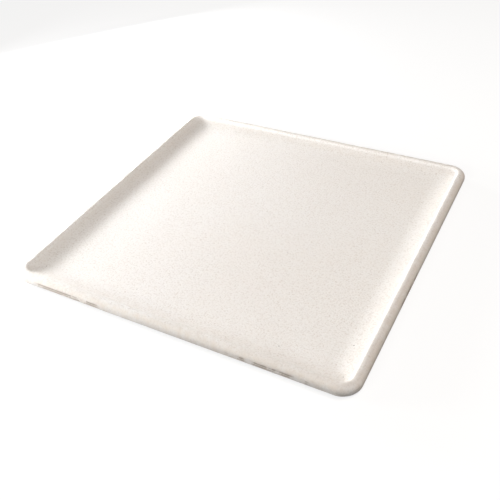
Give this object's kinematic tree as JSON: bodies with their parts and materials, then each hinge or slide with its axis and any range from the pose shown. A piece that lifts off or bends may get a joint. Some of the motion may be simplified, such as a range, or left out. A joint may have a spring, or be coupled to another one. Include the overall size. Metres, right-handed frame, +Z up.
{
  "type": "baking stone",
  "caption": "Square one-piece baking stone: a flat cooking floor sunk inside a raised, fully rounded rim, with a ribbed underside to stand on.",
  "frame": {"origin": "middle of the plane that the stone stands on", "axes": "+Z up out of the cooking floor; +X and +Y along two sides of the square"},
  "size_m": [0.38, 0.38, 0.0135],
  "materials": {
    "fired_clay": "matte"
  },
  "bodies": {
    "root": {"baking_stone": "fired_clay"}
  },
  "joints": []
}
